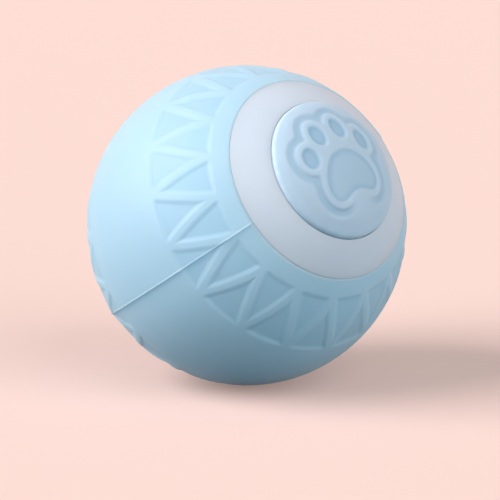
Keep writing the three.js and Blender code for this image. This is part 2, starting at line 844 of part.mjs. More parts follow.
// Motor: flat sided can with a nose bearing, end cap with two tabs, shaft
function motorOutline(inset) {
  const radius = motorDiameter / 2 - inset;
  const flat = motorFlats / 2 - inset;
  const angle = Math.asin(flat / radius);
  const shape = new THREE.Shape();
  shape.absarc(0, 0, radius, -angle, angle);
  shape.absarc(0, 0, radius, Math.PI - angle, Math.PI + angle);
  return shape;
}

const motorFace = frameUnder - seatGap;
const motorEnd = rearPlate + casePlate + seatGap;

function motorCan() {
  const can = prism(motorOutline(0), motorEnd + motorCap + seatGap, motorFace);
  const noseTop = motorFace + motorBossHeight;
  const nose = cylinder(motorBossRadius, motorFace - joinDepth, noseTop, smallFacets);
  const boreRear = motorFace - motorShaftInside;
  const bore = cylinder(motorShaftRadius + runGap, boreRear, noseTop + overcut, pinFacets);
  return placed(solid(can).add(solid(nose)).subtract(solid(bore)), motorPlace);
}

function motorEndCap() {
  const cap = prism(motorOutline(seatGap), motorEnd, motorEnd + motorCap);
  const edge = heightOn(motorDiameter / 2 - seatGap, tabSpread);
  let body = solid(cap);
  for (const side of [1, -1]) {
    const low = side * tabSpread - tabWidth / 2;
    const rear = motorEnd + tabLift;
    const tab = box(edge - tabRoot, edge + tabReach, low, low + tabWidth, rear, rear + tabThickness);
    body = body.add(solid(tab));
  }
  return placed(body, motorPlace);
}

function motorShaft() {
  const top = firstLevel + wheelHeight + shaftProud;
  return cylinder(motorShaftRadius, motorFace - motorShaftInside + runGap, top, pinFacets, motorPlace);
}

// Circuit board: wide between the case halves, narrow tongues into both noses
const boardFront = frontPlate - seatGap;
const boardRear = rearPlate + casePlate + seatGap;
const tactFront = noseEnd - noseEndWall - seatGap - tact.reach;
const usbMouth = -noseEnd + usbRecess;

function circuitBoard() {
  const shape = new THREE.Shape();
  const tongueFront = tactFront;
  const tongueRear = -noseEnd + noseEndWall + seatGap;
  shape.moveTo(boardLeft, boardRear);
  shape.lineTo(-boardTongue, boardRear);
  shape.lineTo(-boardTongue, tongueRear);
  shape.lineTo(boardTongue, tongueRear);
  shape.lineTo(boardTongue, boardRear);
  shape.lineTo(boardRight, boardRear);
  shape.lineTo(boardRight, boardFront);
  shape.lineTo(boardTongue, boardFront);
  shape.lineTo(boardTongue, tongueFront);
  shape.lineTo(-boardTongue, tongueFront);
  shape.lineTo(-boardTongue, boardFront);
  shape.lineTo(boardLeft, boardFront);
  return prism(shape, -boardTop, -boardUnder).rotateX(Math.PI / 2);
}

function usbSocket() {
  const outer = roundedRectangle(usb.width, usb.height, usb.corner);
  const [width, height] = [usb.width - 2 * usb.wall, usb.height - 2 * usb.wall];
  const inner = roundedRectangle(width, height, usb.corner - usb.wall);
  const end = usbMouth + usb.length;
  const shell = solid(prism(outer, usbMouth, end));
  const mouth = solid(prism(inner, usbMouth - overcut, end - usb.back));
  const x = usbTongue.width / 2;
  const y = usbTongue.height / 2;
  const tongue = box(-x, x, -y, y, usbMouth + usbTongue.sink, end - usb.back + joinDepth);
  return toGeometry(shell.subtract(mouth).add(solid(tongue)));
}

function tactSwitch() {
  const top = boardUnder - solderGap;
  const half = tact.width / 2;
  const body = solid(box(-half, half, top - tact.height, top, tactFront - tact.length, tactFront));
  const bore = cylinder(tact.plunger + runGap, tactFront - tact.bore, tactFront + overcut, pinFacets);
  return toGeometry(body.subtract(solid(bore)));
}

function switchPlunger() {
  const rear = tactFront - tact.bore + tact.stroke + seatGap;
  return cylinder(tact.plunger, rear, tactFront + tact.reach, pinFacets);
}

function ledLamp(flangeEnd, direction) {
  const profile = [[0, 0], [led.flange, 0], [led.flange, led.flangeLength], [led.radius, led.flangeLength]];
  for (const angle of [0, 30, 60]) {
    const round = polar(led.radius, angle);
    profile.push([round.x, led.flangeLength + led.barrel + round.y]);
  }
  profile.push([0, led.flangeLength + led.barrel + led.radius]);
  const lamp = turned(profile, pinFacets);
  if (direction < 0) lamp.rotateX(Math.PI);
  const place = ledPlace();
  return lamp.translate(place.x, place.y, flangeEnd);
}

function chip(size) {
  const top = boardUnder - solderGap;
  const x = size.width / 2;
  const z = size.length / 2;
  return box(size.x - x, size.x + x, top - size.height, top, size.z - z, size.z + z);
}

function motionSensor() {
  const place = new THREE.Vector2(sensor.x, boardUnder - solderGap - sensor.radius);
  const half = sensor.length / 2;
  return cylinder(sensor.radius, sensor.z - half, sensor.z + half, pinFacets, place);
}

const batteryRear = rearPlate + casePlate + seatGap;
const batteryFront = frontPlate - battery.wireRoom;

function batteryCell() {
  const shape = roundedRectangle(battery.width, battery.height, battery.corner);
  return prism(shape, batteryRear, batteryFront).translate(0, batteryUnder + battery.height / 2, 0);
}

function batteryWire(side) {
  const x = side * battery.wireSpread;
  const start = batteryFront + solderGap;
  const middle = batteryUnder + battery.height / 2;
  const landing = boardTop + solderGap;
  const bend = start + 3 * wireRadius;
  return tube([
    [x, middle, start],
    [x, middle - wireRadius, bend],
    [x, (middle + landing) / 2, bend + wireRadius],
    [x, landing, bend + wireRadius / 2],
  ], wireRadius);
}

function motorWire(side) {
  const edge = heightOn(motorDiameter / 2 - seatGap, tabSpread);
  const x = motorPlace.x + edge + tabReach + solderGap;
  const y = motorPlace.y + side * tabSpread;
  const z = motorEnd + wireRadius;
  const clearOf = Math.max(usb.width / 2, motorPlace.x + motorDiameter / 2 + tabReach);
  const riser = clearOf + motorWireSpacing * (side > 0 ? 1 : 2);
  return tube([
    [x, y, z],
    [riser - wireRadius, y + wireRadius, z],
    [riser, (y + boardUnder) / 2, z],
    [riser, boardUnder - solderGap, z],
  ], wireRadius);
}

// Ballast: a steel segment hung below the drum, so that the core keeps hanging down
function ballastWeight() {
  const inner = caseRadius + seatGap;
  const outer = heightOn(shellInner, ballastRear) - ballastGap;
  const half = radians(ballastSpan / 2);
  const shape = new THREE.Shape();
  shape.absarc(0, 0, outer, -Math.PI / 2 - half, -Math.PI / 2 + half, false);
  shape.absarc(0, 0, inner, -Math.PI / 2 + half, -Math.PI / 2 - half, true);
  return prism(shape, ballastRear, firstLevel + wheelHeight, smallFacets / 2);
}

// Parts that turn with the sleeve
const housing = new THREE.Group();
housing.rotation.z = radians(sleeveTurn);
housing.add(
  part("silicone_sleeve", sleeveGeometry(), colours.silicone, 0.6),
  part("shell_front", frontShell(), colours.clear, 0.35),
  part("shell_rear", rearShell(), colours.clear, 0.35),
  part("paw_button", pawButton(), colours.silicone, 0.5),
  part("button_carrier", buttonCarrier(), colours.white, 0.5),
  part("port_plug", portPlug(), colours.silicone, 0.5),
);

// Parts of the core, and the ring gear, which stands in mesh with it
const core = new THREE.Group();
core.add(
  part("ring_gear", ringGear(), colours.gear, 0.5),
  part("core_case_front", frontCase(), colours.grey, 0.6),
  part("core_case_rear", rearCase(), colours.grey, 0.6),
  part("gear_frame", gearFrame(), colours.white, 0.6),
  part("motor_can", motorCan(), colours.steel, 0.3, 1),
  part("motor_end_cap", motorEndCap(), colours.white, 0.6),
  part("motor_shaft", motorShaft(), colours.steel, 0.25, 1),
  part("motor_pinion", motorPinion(), colours.gear, 0.5),
  part("first_gear", firstGear(), colours.gear, 0.5),
  part("second_gear", secondGear(), colours.gear, 0.5),
  part("first_gear_pin", gearPin(firstPlace, frameUnder), colours.steel, 0.25, 1),
  part("second_gear_pin", gearPin(secondPlace, frameUnder), colours.steel, 0.25, 1),
  part("battery_cell", batteryCell(), colours.foil, 0.4, 0.3),
  part("circuit_board", circuitBoard(), colours.board, 0.5),
  part("usb_c_socket", usbSocket(), colours.steel, 0.3, 1),
  part("tact_switch", tactSwitch(), colours.dark, 0.5),
  part("switch_plunger", switchPlunger(), colours.white, 0.5),
  part("led_front", ledLamp(frontFace - led.flangeLength - led.barrel, 1), colours.led, 0.2),
  part("led_rear", ledLamp(rearPlate + led.flangeLength + led.barrel, -1), colours.led, 0.2),
  part("controller_chip", chip(controllerChip), colours.dark, 0.5),
  part("charge_chip", chip(chargeChip), colours.dark, 0.5),
  part("motion_sensor", motionSensor(), colours.steel, 0.3, 1),
  part("ballast_weight", ballastWeight(), colours.steel, 0.45, 1),
  part("battery_wire_plus", batteryWire(1), colours.red, 0.5),
  part("battery_wire_minus", batteryWire(-1), colours.dark, 0.5),
  part("motor_wire_plus", motorWire(1), colours.red, 0.5),
  part("motor_wire_minus", motorWire(-1), colours.dark, 0.5),
);
bossPlaces().forEach((place, i) => {
  core.add(part(`case_screw_${i + 1}`, caseScrew(place), colours.steel, 0.35, 1));
});

// The ball lies with its axle tilted, so that the paw button looks up and forward
const ball = new THREE.Group();
ball.rotation.x = radians(90 - axleTilt);
ball.add(housing, core);

const model = new THREE.Group();
model.add(ball);

export default model;
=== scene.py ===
import json
import math

import bpy
import numpy as np
from mathutils import Matrix, Vector


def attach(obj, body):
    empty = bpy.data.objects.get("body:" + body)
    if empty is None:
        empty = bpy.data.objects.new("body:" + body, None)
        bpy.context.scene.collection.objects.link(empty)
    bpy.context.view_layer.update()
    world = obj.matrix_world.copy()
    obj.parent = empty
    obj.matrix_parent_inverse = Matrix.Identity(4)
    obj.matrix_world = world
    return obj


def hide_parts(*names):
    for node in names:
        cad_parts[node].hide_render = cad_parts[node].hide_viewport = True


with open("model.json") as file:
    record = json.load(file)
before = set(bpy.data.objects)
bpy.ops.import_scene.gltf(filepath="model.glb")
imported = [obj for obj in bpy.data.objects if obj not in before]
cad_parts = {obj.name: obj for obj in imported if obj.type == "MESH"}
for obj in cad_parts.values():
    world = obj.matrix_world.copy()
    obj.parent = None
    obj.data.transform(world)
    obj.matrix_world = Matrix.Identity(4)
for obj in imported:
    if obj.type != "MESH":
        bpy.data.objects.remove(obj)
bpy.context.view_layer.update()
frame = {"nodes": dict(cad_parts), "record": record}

# Sizes are in millimetres and angles in degrees, in the ball's own frame: the axle is Z, with the paw
# button at +Z. Polar angles are counted from the axle, longitudes round it.
MM = 0.001
BALL = 21.5
AXLE_TILT = 29.2
SLEEVE_TURN = 198.6
PAW_TURN = 172.4

# Sleeve: its inside and its lips
SLEEVE_INNER = 20.1
LIP_ANGLE = 39.95
LIP_ROUND = 0.27
LIP_ARC = math.degrees(LIP_ROUND / BALL)
LIP_TURNS = range(8, 90, 12)
LIP_FOOT = 0.15
LIP_SHOULDER = 0.1
LIP_INSET = 0.4
# A painted highlight along the lip's rounded edge.
LIP_HIGHLIGHT = 0.15
LIP_HIGHLIGHT_ARC = 0.3 * LIP_ARC

# Sleeve: sunk bands with zigzag ribs. BAND and ZIGZAG are polar angles, RIB_SHARE is a rib's height as a
# share of the band's depth.
BAND = (47.5, 69.4)
BAND_DEPTH = 0.15
BAND_RAMP = 0.85
TEETH = 18
ZIGZAG = (47.8, 69.8)
ZIGZAG_TURN = 1.3
RIB_TOP = 0.5
RIB_FOOT = 2.15
RIB_SHARE = 0.96

# Sleeve: the parting line, with a swell, a step down to one side and a fine line of flash
SEAM_TURN = 0.8
SEAM_SWELL = 0.15
SEAM_SWELL_REACH = 3
SEAM_STEP = 0.12
SEAM_STEP_RAMP = 0.3
SEAM_STEP_REACH = 3
FLASH_HEIGHT = 0.05
FLASH_INSET = 0.09
FLASH_WIDTH = 0.085
# A painted highlight on the line of flash.
FLASH_HIGHLIGHT = 0.42

# Sleeve: its grid
COLUMN_STEP = 0.3
SEAM_COLUMN_STEP = 0.15
SEAM_COLUMN_REACH = 0.9
SEAM_COLUMN_SHIFT = 0.07
BAND_MARGIN = 1.2
BAND_ROWS = 84
LIP_ROWS = 8
MIDDLE_ROWS = 24
INNER_ROWS = 30
SLEEVE_CREASE = 75

# Shells: wall, dome edge, well, hub, slots for the button's hooks, lap and the ring gear's seat
SHELL_OUTER = 19.8
SHELL_INNER = 18.6
SHELL_SEGMENTS = 192
SHELL_CREASE = 35
DOME_EDGE_ANGLE = 40.15
DOME_EDGE_ROUND = 0.09
DOME_EDGE_MARGIN = 0.6
WALL_MARGIN = 1
ARC_STEP = 1.5
HIDDEN_ARC_STEP = 3
ROUNDING_STEPS = 4
WELL = 9.5
WELL_EDGE_ROUND = 0.05
FLOOR_TOP = 17.062
FLOOR_UNDER = 15.962
HUB = 6.9
HUB_ROUND = 0.25
HUB_OUTER = 7.5
HUB_END = 13.162
HOOKS = 3
HOOK_INNER = 7.6
HOOK_OUTER = 8.9
HOOK_HALF_CELLS = 6
HALF_GAP = 0.15
TONGUE_INNER = 18.5
TONGUE_OUTER = 19.1
TONGUE_LENGTH = 1.8
SOCKET_RADIUS = 19.3
SOCKET_END = 2.1
SEAT_RADIUS = 14.79
SEAT_UNDER = 6.5
SEAT_OVER = 7.5

# Discs: face, rounded edge, underside, the button's pocket and the plug's boss
DISC = 9.45
DISC_DOME = 22.4
DISC_EDGE = 0.7
DISC_PILLOW_START = 4.7
DISC_PILLOW_DROP = 0.52
DISC_SEGMENTS = 360
DISC_CREASE = 70
DISC_CHAMFER = 0.15
FACE_START = 0.12
FACE_RINGS = 80
EDGE_RINGS = 9
SLOPE_STEP = 0.1
# A painted highlight on the cap's shoulder that grows over the rounded edge to full on the wall, where it
# lightens the wall's shade.
RIM_HIGHLIGHT = 0.25
RIM_HIGHLIGHT_START = 7.6
RIM_HIGHLIGHT_RAMP = 1.4
CAP_UNDER = 17.862
PLUG_UNDER = 17.362
POCKET = 8.86
POCKET_DEPTH = 0.9
BOSS_OUTER = 6.6
BOSS_INNER = 5.4
BOSS_END = 16.162
BOSS_CHAMFER = 0.1
BOSS_FOOT = (0.3, 0.2)
UNDER_MIDDLE = 2

# Paw print, seen with the toes up. A toe has its centre's x and y and its lean, the palm has the
# corners of its right half, and PAD_JOIN is a circle (x, y, radius) that closes the gap between them.
TOES = [(1.97, 4.48, 0), (-1.79, 4.48, 0), (4.92, 2.04, 4), (-4.64, 2.0, -4)]
TOE_HALF = (1.08, 1.46)
TOE_DEPTH = 0.25
TOE_RAMP = 0.6
PALM = [(0.1, 1.68), (1.45, 1.42), (2.65, 0.65), (3.65, -0.6), (4.18, -2.1), (4.22, -3.3), (3.65, -4.32),
        (2.7, -4.68), (1.65, -4.38), (0.7, -4.0), (0, -3.92)]
PALM_STEPS = 14
PALM_DEPTH = 0.1
PALM_EDGE_DEPTH = 0.06
PALM_EDGE_REACH = 0.5
PALM_RAMP = 0.5
PAD_JOIN = (0.08, 2.9, 0.7)
PAD_BLEND = 0.8
RIDGE_HEIGHT = 0.012
RIDGE_PLACE = 0.5
RIDGE_WIDTH = 0.3

# Valley round the print: where it starts and ends outside the outline, each with its ramp, and the gap
# that it leaves below the palm
VALLEY_DEPTH = 0.21
VALLEY_START = 0.72
VALLEY_START_RAMP = 0.4
VALLEY_END = 1.45
VALLEY_END_RAMP = 0.7
GAP_HALF = 0.8
GAP_HALF_RAMP = 2.4
GAP_START = 3
GAP_START_RAMP = 2

# Painted shade in the print's toes, palm and valley, darker again along the toes' and palm's walls. A wall is
# a distance from the outline and a width.
TOE_SHADE = 0.75
TOE_WALL = (-0.25, 0.3)
TOE_WALL_SHADE = 0.25
PALM_SHADE = 0.4
PALM_WALL = (-0.3, 0.35)
PALM_WALL_SHADE = 0.4
VALLEY_SHADE = 0.6


# Placing, meshes and turned forms
def turn_about(axis, degrees):
    return Matrix.Rotation(math.radians(degrees), 4, axis)


def housing_matrix():
    return turn_about("X", 90 - AXLE_TILT) @ turn_about("Z", SLEEVE_TURN)


def mesh_piece(name, points, faces, matrix, crease, painted_light=None):
    """A mesh from points in millimetres in the ball's frame, moved into the row frame.

    The last argument gives, from 0 to 1, the painted shade on sunk points, and below 0 the painted highlight
    on fine edges. The silicone's colour follows it.
    """
    mesh = bpy.data.meshes.new(name)
    placed = np.asarray(points, dtype=float) * MM
    placed = placed @ np.array(matrix.to_3x3()).T
    mesh.from_pydata(placed.tolist(), [], [list(map(int, f)) for f in faces])
    mesh.validate(clean_customdata=True)
    mesh.update()
    mesh.shade_smooth()
    mesh.set_sharp_from_angle(angle=math.radians(crease))
    if painted_light is not None:
        values = np.asarray(painted_light, dtype=np.float32)
        mesh.attributes.new("painted_light", "FLOAT", "POINT").data.foreach_set("value", values)
    piece = bpy.data.objects.new(name, mesh)
    bpy.context.scene.collection.objects.link(piece)
    return piece


def grid_faces(rows, columns, closed_rows):
    """Quads of a grid of rings. Rings close round; rows close too where closed_rows is set."""
    row = np.arange(rows if closed_rows else rows - 1)
    column = np.arange(columns)
    r, c = np.meshgrid(row, column, indexing="ij")
    below = (r + 1) % rows
    right = (c + 1) % columns
    quads = np.stack([r * columns + c, r * columns + right, below * columns + right, below * columns + c], -1)
    return quads.reshape(-1, 4)


def rounded(profile, radii):
    """A closed profile of [radius, height] pairs with the named corners rounded."""
    out = []
    count = len(profile)
    for i, corner in enumerate(profile):
        size = radii.get(i, 0)
        here = np.array(corner, dtype=float)
        if size == 0:
            out.append(here)
            continue
        back = np.array(profile[i - 1], dtype=float) - here
        on = np.array(profile[(i + 1) % count], dtype=float) - here
        back /= np.linalg.norm(back)
        on /= np.linalg.norm(on)
        half = math.acos(np.clip(back @ on, -1, 1)) / 2
        reach = size / math.tan(half)
        centre = here + (back + on) / np.linalg.norm(back + on) * size / math.sin(half)
        start = here + back * reach - centre
        end = here + on * reach - centre
        first = math.atan2(start[1], start[0])
        sweep = (math.atan2(end[1], end[0]) - first + math.pi) % (2 * math.pi) - math.pi
        for step in range(ROUNDING_STEPS + 1):
            angle = first + sweep * step / ROUNDING_STEPS
            out.append(centre + size * np.array([math.cos(angle), math.sin(angle)]))
    return np.array(out)


def on_arc(radius, polar):
    """[radius, height] of the place at a polar angle."""
    return [radius * math.sin(polar), radius * math.cos(polar)]


def arc(radius, start, end, step):
    count = max(2, int(abs(end - start) / step) + 1)
    return [on_arc(radius, polar) for polar in np.radians(np.linspace(start, end, count))]


def polar_at(radius, height):
    """Polar angle at which a ball of this radius has this height."""
    return math.degrees(math.acos(height / radius))


def turned(name, profile, matrix, open_cells=None):
    """A closed profile turned about the axle. open_cells leaves out some of its quads."""
    turn = np.linspace(0, 2 * math.pi, SHELL_SEGMENTS, endpoint=False)
    radius, height = profile[:, 0:1], profile[:, 1:2]
    points = np.stack([radius * np.cos(turn), radius * np.sin(turn), height + 0 * turn], -1)
    faces = grid_faces(len(profile), SHELL_SEGMENTS, True)
    if open_cells is not None:
        faces = open_cells(profile, faces)
    return mesh_piece(name, points.reshape(-1, 3), faces, matrix, SHELL_CREASE)


def smooth(x):
    """A soft step from 0 to 1."""
    x = np.clip(x, 0, 1)
    return x * x * (3 - 2 * x)


def bell(x, centre, width):
    """A soft ridge of height 1."""
    return np.exp(-((x - centre) / width) ** 2)


# Silicone sleeve: skin with two sunk bands of rounded zigzag ribs and the mould's parting line
def nearer(polar):
    """The same place's polar angle, from the nearer end of the axle."""
    return min(polar, 180 - polar)


def ring_degree(polar):
    """Millimetres in one degree of longitude."""
    return BALL * math.sin(math.radians(polar)) * math.pi / 180


def rib_level(polar, longitude):
    """How far a point between the band's edges stands up from its floor, from 0 to 1."""
    half = 180 / TEETH
    along = np.clip((polar - ZIGZAG[0]) / (ZIGZAG[1] - ZIGZAG[0]), 0, 1)
    per_degree = ring_degree(polar)
    length = BALL * math.radians(ZIGZAG[1] - ZIGZAG[0])
    slant = math.cos(math.atan(half * per_degree / length))
    fold = np.abs((longitude - ZIGZAG_TURN + half) % (2 * half) - half)
    distance = np.abs(fold - half * along) * per_degree * slant
    slope = np.clip((RIB_FOOT / 2 - distance) / ((RIB_FOOT - RIB_TOP) / 2), 0, 1)
    return 0.5 - 0.5 * np.cos(math.pi * slope)


def band_level(polar):
    """1 over the floor of a band, 0 outside it, with a soft wall between."""
    near = nearer(polar)
    per_degree = BALL * math.pi / 180
    start = smooth((near - BAND[0]) * per_degree / BAND_RAMP + 0.5)
    end = smooth((BAND[1] - near) * per_degree / BAND_RAMP + 0.5)
    return float(start * end)


def past_seam(polar, longitude):
    """Millimetres from the nearer parting line, above 0 on the side that steps down."""
    from_seam = (longitude - SEAM_TURN + 90) % 360 - 90
    return np.minimum(from_seam, 180 - from_seam) * ring_degree(polar)


def flash_level(across):
    """The fine line of flash along the parting line, from 0 to 1."""
    return bell(across, -FLASH_INSET, FLASH_WIDTH)


def seam_level(polar, longitude):
    """Both mould halves swell to the parting line, one steps down past it, and a fine flash stands on it."""
    across = past_seam(polar, longitude)
    inward = np.maximum(across, 0)
    swell = SEAM_SWELL * np.exp(-np.abs(across) / SEAM_SWELL_REACH)
    step = SEAM_STEP * (1 - np.exp(-inward / SEAM_STEP_RAMP)) * np.exp(-(inward / SEAM_STEP_REACH) ** 2)
    return swell + FLASH_HEIGHT * flash_level(across) - step


def skin_radius(polar, longitude):
    sunk = BAND_DEPTH * band_level(polar) * (1 - RIB_SHARE * rib_level(nearer(polar), longitude))
    return BALL - sunk + seam_level(polar, longitude)


def skin_painted_light(polar, longitude):
    """Painted shade on the band's floors between the ribs, and below 0 a painted highlight on the flash and
    the lip's edge.
    """
    near = nearer(polar)
    sunk = band_level(polar) * (1 - rib_level(near, longitude))
    lip = LIP_HIGHLIGHT * bell(near - LIP_ANGLE, LIP_HIGHLIGHT_ARC, LIP_HIGHLIGHT_ARC)
    return sunk - np.maximum(FLASH_HIGHLIGHT * flash_level(past_seam(polar, longitude)), lip)


def sleeve_columns():
    """Longitudes of the skin's grid: even, with finer ones beside the two parting lines."""
    even = np.arange(0, 360, COLUMN_STEP)
    steps = round(SEAM_COLUMN_REACH / SEAM_COLUMN_STEP)
    fine = np.arange(-steps, steps + 1) * SEAM_COLUMN_STEP + SEAM_COLUMN_SHIFT
    return np.unique(np.round(np.concatenate([even, SEAM_TURN + fine, SEAM_TURN + 180 + fine]) % 360, 2))


def sleeve_rows():
    """Polar angles of the outer skin: fine over the bands and lips, wider between them."""
    band = np.linspace(BAND[0] - BAND_MARGIN, BAND[1] + BAND_MARGIN, BAND_ROWS)
    before = np.linspace(LIP_ANGLE + LIP_ARC, band[0], LIP_ROWS)[:-1]
    middle = np.linspace(band[-1], 180 - band[-1], MIDDLE_ROWS)[1:-1]
    front = np.concatenate([before, band])
    return np.concatenate([front, middle, 180 - front[::-1]])


def lip_section():
    """Radius and polar angle of the lip, from the foot of its wall out to the skin."""
    section = [(SLEEVE_INNER + LIP_FOOT, LIP_ANGLE), (BALL - LIP_ROUND - LIP_SHOULDER, LIP_ANGLE)]
    for degrees in LIP_TURNS:
        turn = math.radians(degrees)
        radius = BALL - LIP_ROUND * (1 - math.sin(turn))
        section.append((radius, LIP_ANGLE + LIP_ARC * (1 - math.cos(turn))))
    return section


def sleeve_skin():
    """The skin's rings, from the front lip over the outside to the rear lip and back along the inside."""
    longitude = sleeve_columns()
    turn = np.radians(longitude)
    rings = lip_section()
    rings += [(skin_radius(polar, longitude), polar) for polar in sleeve_rows()]
    rings += [(radius, 180 - polar) for radius, polar in lip_section()[::-1]]
    inside = np.linspace(180 - LIP_ANGLE - LIP_INSET, LIP_ANGLE + LIP_INSET, INNER_ROWS)
    rings += [(SLEEVE_INNER, polar) for polar in inside]
    points = []
    for radius, polar in rings:
        flat = radius * math.sin(math.radians(polar)) + 0 * turn
        height = radius * math.cos(math.radians(polar)) + 0 * turn
        points.append(np.stack([flat * np.cos(turn), flat * np.sin(turn), height], -1))
    painted_light = np.concatenate([skin_painted_light(polar, longitude) for _, polar in rings])
    faces = grid_faces(len(rings), len(longitude), True)[:, ::-1]
    return mesh_piece("sleeve_skin", np.concatenate(points), faces, housing_matrix(), SLEEVE_CREASE, painted_light)


# Milky shells: dome flush with the sleeve, well for the disc, wall under the sleeve, hub
def shell_profile(front):
    """From the hub's end over the well and the dome down to the lap, and back along the inside."""
    profile = [[HUB, HUB_END], [HUB, FLOOR_TOP], [HOOK_INNER, FLOOR_TOP], [HOOK_OUTER, FLOOR_TOP]]
    profile += [[WELL, FLOOR_TOP]]
    corners = {1: HUB_ROUND, len(profile): WELL_EDGE_ROUND}
    well_angle = math.degrees(math.asin(WELL / BALL))
    profile += arc(BALL, well_angle, DOME_EDGE_ANGLE - DOME_EDGE_MARGIN, ARC_STEP)
    corners[len(profile)] = DOME_EDGE_ROUND
    profile += [on_arc(radius, math.radians(DOME_EDGE_ANGLE)) for radius in (BALL, SHELL_OUTER)]
    profile += arc(SHELL_OUTER, DOME_EDGE_ANGLE + WALL_MARGIN, polar_at(SHELL_OUTER, HALF_GAP),
                   HIDDEN_ARC_STEP)
    if front:
        profile += [[TONGUE_OUTER, HALF_GAP], [TONGUE_OUTER, -TONGUE_LENGTH]]
        profile += [[TONGUE_INNER, -TONGUE_LENGTH], [TONGUE_INNER, TONGUE_LENGTH]]
        profile += [[math.sqrt(SHELL_INNER ** 2 - SEAT_UNDER ** 2), SEAT_UNDER]]
        profile += [[SEAT_RADIUS, SEAT_UNDER], [SEAT_RADIUS, SEAT_OVER]]
        inside_start = SEAT_OVER
    else:
        profile += [[SOCKET_RADIUS, HALF_GAP], [SOCKET_RADIUS, SOCKET_END]]
        inside_start = SOCKET_END
    inside = (polar_at(SHELL_INNER, inside_start), polar_at(SHELL_INNER, FLOOR_UNDER))
    profile += arc(SHELL_INNER, *inside, HIDDEN_ARC_STEP)
    profile += [[HOOK_OUTER, FLOOR_UNDER], [HOOK_INNER, FLOOR_UNDER]]
    profile += [[HUB_OUTER, FLOOR_UNDER], [HUB_OUTER, HUB_END]]
    return rounded(profile, corners)


def hook_slots(profile, faces):
    """Leaves slots in the well's floor for the button's hooks, and walls them."""
    corners = [tuple(corner) for corner in profile]
    top = [corners.index((radius, FLOOR_TOP)) for radius in (HOOK_INNER, HOOK_OUTER)]
    under = [corners.index((radius, FLOOR_UNDER)) for radius in (HOOK_INNER, HOOK_OUTER)]
    middles = [hook * SHELL_SEGMENTS // HOOKS for hook in range(HOOKS)]
    half = range(-HOOK_HALF_CELLS, HOOK_HALF_CELLS)
    cells = [(middle + k) % SHELL_SEGMENTS for middle in middles for k in half]
    row, column = faces[:, 0] // SHELL_SEGMENTS, faces[:, 0] % SHELL_SEGMENTS
    gone = np.isin(row, [min(top), min(under)]) & np.isin(column, cells)
    kept = [list(f) for f in faces[~gone]]

    def wall(*ends):
        """Two ends, each with 0 for the inner ring or 1 for the outer one, and its column."""
        low = [under[side] * SHELL_SEGMENTS + at % SHELL_SEGMENTS for side, at in ends]
        high = [top[side] * SHELL_SEGMENTS + at % SHELL_SEGMENTS for side, at in ends]
        kept.append(low + high[::-1])

    for middle in middles:
        for k in half:
            wall((0, middle + k + 1), (0, middle + k))
            wall((1, middle + k), (1, middle + k + 1))
        wall((1, middle - HOOK_HALF_CELLS), (0, middle - HOOK_HALF_CELLS))
        wall((0, middle + HOOK_HALF_CELLS), (1, middle + HOOK_HALF_CELLS))
    return kept


# Paw discs: a rounded cap with a sunk paw print and a scalloped valley round it
def palm_outline():
    """The palm's outline: a smooth closed curve through its corners, mirrored."""
    half = [np.array(p, dtype=float) for p in PALM]
    corners = half + [np.array([-p[0], p[1]]) for p in half[1:-1]][::-1]
    count = len(corners)
    points = []
    for i in range(count):
        a, b, c, d = (corners[(i + k) % count] for k in (-1, 0, 1, 2))
        for t in np.linspace(0, 1, PALM_STEPS, endpoint=False):
            points.append(0.5 * ((2 * b) + (c - a) * t + (2 * a - 5 * b + 4 * c - d) * t * t
                                 + (3 * b - a - 3 * c + d) * t ** 3))
    return np.array(points)


def polygon_distance(x, y, outline):
    """Signed distance to a closed outline, below 0 inside."""
    best = np.full(x.shape, np.inf)
    inside = np.zeros(x.shape, dtype=bool)
    for i in range(len(outline)):
        ax, ay = outline[i]
        bx, by = outline[(i + 1) % len(outline)]
        ex, ey = bx - ax, by - ay
        t = np.clip(((x - ax) * ex + (y - ay) * ey) / (ex * ex + ey * ey), 0, 1)
        best = np.minimum(best, np.hypot(x - ax - t * ex, y - ay - t * ey))
        if ey != 0:
            crossing = (ay > y) != (by > y)
            inside ^= crossing & (x < ex * (y - ay) / ey + ax)
    return np.where(inside, -best, best)


def ellipse_distance(x, y, centre, half, lean):
    """Nearly the signed distance to an ellipse, below 0 inside."""
    turn = math.radians(lean)
    u = (x - centre[0]) * math.cos(turn) + (y - centre[1]) * math.sin(turn)
    v = -(x - centre[0]) * math.sin(turn) + (y - centre[1]) * math.cos(turn)
    k = np.hypot(u / half[0], v / half[1])
    slope = np.hypot(u / half[0] ** 2, v / half[1] ** 2)
    return np.where(slope > 1e-9, k * (k - 1) / np.maximum(slope, 1e-9), -half[0])


def smooth_union(distances, size):
    """The distance to several outlines joined, with the corners between them filled."""
    out = distances[0]
    for other in distances[1:]:
        h = np.clip(0.5 + 0.5 * (other - out) / size, 0, 1)
        out = other * (1 - h) + out * h - size * h * (1 - h)
    return out


def valley_level(x, y, outline):
    """1 over the floor of the valley round the paw, which fades out below the palm."""
    middle = 1 - smooth((np.abs(x) - GAP_HALF) / GAP_HALF_RAMP)
    fade = 1 - middle * smooth((-y - GAP_START) / GAP_START_RAMP)
    start = smooth((outline - VALLEY_START) / VALLEY_START_RAMP)
    end = smooth((outline - VALLEY_END) / VALLEY_END_RAMP)
    return fade * start * (1 - end)


